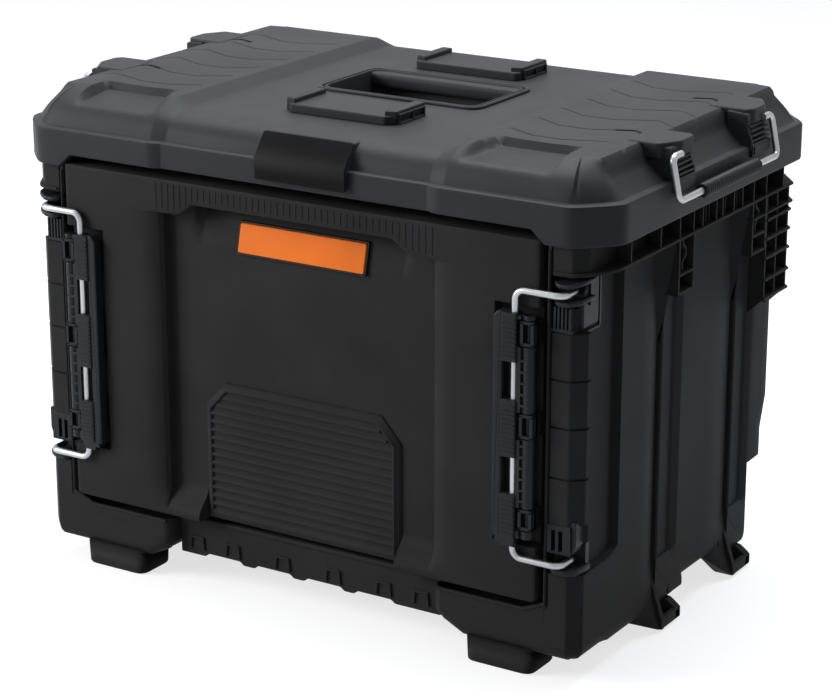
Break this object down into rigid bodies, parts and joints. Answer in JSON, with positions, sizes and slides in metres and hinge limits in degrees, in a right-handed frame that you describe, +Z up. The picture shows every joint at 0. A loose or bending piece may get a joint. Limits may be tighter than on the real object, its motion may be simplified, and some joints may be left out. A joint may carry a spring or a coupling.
{
  "type": "tool chest",
  "caption": "Black moulded tool chest with a full front door on draw latches, a ribbed collar, a stacking lid with a hand recess and swinging wire bails at its ends.",
  "frame": {"origin": "on the ground under the middle of the chest's box", "axes": "+Z up, front door towards -Y, +X to the right as seen from the front"},
  "size_m": [0.592, 0.3936, 0.4198],
  "materials": {
    "shell": "finely textured charcoal-black polypropylene",
    "latch": "black moulded latch plastic",
    "orange": "satin orange plastic",
    "badge": "near-black satin plate, bare",
    "wire": "bright zinc-plated wire",
    "fastener": "plain steel",
    "seal": "black gasket rubber"
  },
  "bodies": {
    "chest": {"body_shell": "shell", "lid": "shell", "front_cleat": "shell", "rear_cleat": "shell", "badge_plate": "badge", "door_seal": "seal", "lid_seal": "seal", "left_upper_keeper": "latch", "left_lower_keeper": "latch", "right_upper_keeper": "latch", "right_lower_keeper": "latch", "lid_screw_1": "fastener", "lid_screw_2": "fastener", "lid_screw_3": "fastener", "lid_screw_4": "fastener", "lid_screw_5": "fastener", "lid_screw_6": "fastener"},
    "door": {"door_panel": "shell", "door_orange_plate": "orange", "left_lever_pin": "fastener", "right_lever_pin": "fastener"},
    "left_lever": {"left_latch_lever": "latch"},
    "right_lever": {"right_latch_lever": "latch"},
    "left_wire": {"left_latch_wire": "wire"},
    "right_wire": {"right_latch_wire": "wire"},
    "left_bail": {"left_bail": "wire", "left_bail_grip": "latch"},
    "right_bail": {"right_bail": "wire", "right_bail_grip": "latch"}
  },
  "joints": [
    {"name": "door_hinge", "type": "hinge", "parent": "chest", "child": "door", "pos_m": [-0.25, -0.17725, 0.2106], "axis": [0, 0, -1], "range_deg": [0, 110]},
    {"name": "left_lever_hinge", "type": "hinge", "parent": "door", "child": "left_lever", "pos_m": [-0.2205, -0.18975, 0.2076], "axis": [0, 0, -1], "range_deg": [0, 110]},
    {"name": "right_lever_hinge", "type": "hinge", "parent": "door", "child": "right_lever", "pos_m": [0.2205, -0.18975, 0.2076], "axis": [0, 0, 1], "range_deg": [0, 110]},
    {"name": "left_wire_hinge", "type": "hinge", "parent": "left_lever", "child": "left_wire", "pos_m": [-0.206, -0.19125, 0.2076], "axis": [0, 0, -1], "range_deg": [-165, 0]},
    {"name": "right_wire_hinge", "type": "hinge", "parent": "right_lever", "child": "right_wire", "pos_m": [0.206, -0.19125, 0.2076], "axis": [0, 0, 1], "range_deg": [-165, 0]},
    {"name": "left_bail_hinge", "type": "hinge", "parent": "chest", "child": "left_bail", "pos_m": [-0.283, 0.00375, 0.4065], "axis": [0, 1, 0], "range_deg": [0, 150]},
    {"name": "right_bail_hinge", "type": "hinge", "parent": "chest", "child": "right_bail", "pos_m": [0.283, 0.00375, 0.4065], "axis": [0, -1, 0], "range_deg": [0, 150]}
  ],
  "couplings": [
    {"joint": "left_wire_hinge", "follows": "left_lever_hinge", "ratio": -1.5},
    {"joint": "right_wire_hinge", "follows": "right_lever_hinge", "ratio": -1.5}
  ]
}
